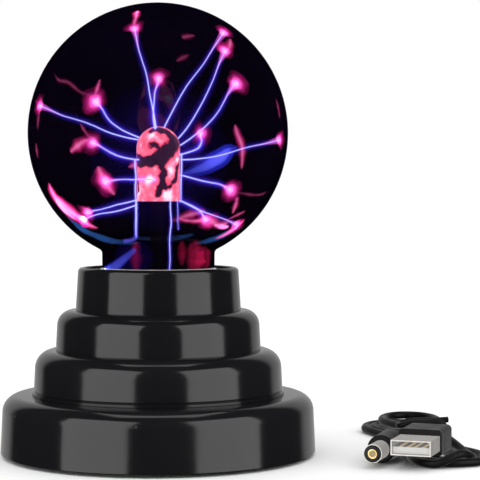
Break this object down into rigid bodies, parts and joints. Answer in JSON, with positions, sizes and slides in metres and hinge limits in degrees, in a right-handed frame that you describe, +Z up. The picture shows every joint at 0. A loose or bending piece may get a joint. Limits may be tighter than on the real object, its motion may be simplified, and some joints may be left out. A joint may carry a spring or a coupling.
{
  "type": "plasma ball",
  "caption": "Glass plasma globe with a central electrode on a stepped round base, with a rear power jack, a slide switch and a loose power lead.",
  "frame": {"origin": "centre of the round base on the surface it stands on", "axes": "+Z up along the globe's axis, +Y towards the back, where the jack and the switch are, +X to the viewer's right"},
  "size_m": [0.1494, 0.1093, 0.1405],
  "materials": {
    "housing_black": "gloss",
    "globe_glass": "clear",
    "tube_glass": "clear",
    "head_coating": "satin",
    "steel_wool": "fine wire",
    "sleeve_grey": "satin",
    "silicone_white": "satin",
    "rubber_black": "matt",
    "screw_steel": "zinc plated",
    "board_green": "solder mask",
    "ferrite": "sintered",
    "bobbin_white": "satin",
    "winding_tape": "tape",
    "sink_aluminium": "milled",
    "epoxy_black": "moulded",
    "capacitor_sleeve": "sleeved",
    "film_red": "dipped",
    "resistor_tan": "lacquer",
    "contact_tin": "tinned",
    "contact_gold": "gold plated",
    "nickel": "nickel plated",
    "switch_black": "satin",
    "cord_black": "satin",
    "tongue_white": "satin"
  },
  "bodies": {
    "base": {"glass_globe": "globe_glass", "electrode_tube": "tube_glass", "exhaust_tip": "globe_glass", "electrode_coating": "head_coating", "contact_wool": "steel_wool", "feed_sleeve": "sleeve_grey", "hv_wire": "sleeve_grey", "neck_collar": "housing_black", "neck_gasket": "rubber_black", "retaining_ring": "housing_black", "neck_adhesive": "silicone_white", "upper_housing": "housing_black", "base_housing": "housing_black", "bottom_cover": "housing_black", "cover_screws": "screw_steel", "rubber_feet": "rubber_black", "circuit_board": "board_green", "board_screws": "screw_steel", "transformer_core": "ferrite", "transformer_bobbin": "bobbin_white", "transformer_winding": "winding_tape", "heat_sink": "sink_aluminium", "power_transistor": "epoxy_black", "transistor_screw": "screw_steel", "electrolytic_capacitors": "capacitor_sleeve", "film_capacitor": "film_red", "resistors": "resistor_tan", "oscillator_chip": "epoxy_black", "dc_jack_body": "switch_black", "dc_jack_pin": "nickel", "dc_jack_terminals": "contact_tin", "switch_case": "nickel", "switch_terminals": "contact_tin"},
    "switch_slider": {"switch_slider": "switch_black"},
    "power_lead": {"lead_hank": "cord_black", "lead_end_dc": "cord_black", "lead_end_usb": "cord_black", "lead_tie": "cord_black", "dc_plug_grip": "cord_black", "dc_plug_barrel": "nickel", "dc_plug_insulator": "switch_black", "dc_plug_contact": "contact_gold", "usb_plug_grip": "cord_black", "usb_plug_shell": "nickel", "usb_plug_tongue": "tongue_white", "usb_plug_contacts": "contact_gold"}
  },
  "joints": [
    {"name": "switch_slide", "type": "slide", "parent": "base", "child": "switch_slider", "axis": [1, 0, 0], "range_m": [-0.0036, 0]},
    {"name": "power_lead_lift", "type": "slide", "parent": "base", "child": "power_lead", "axis": [0, 0, 1], "range_m": [0, 0.1]}
  ]
}
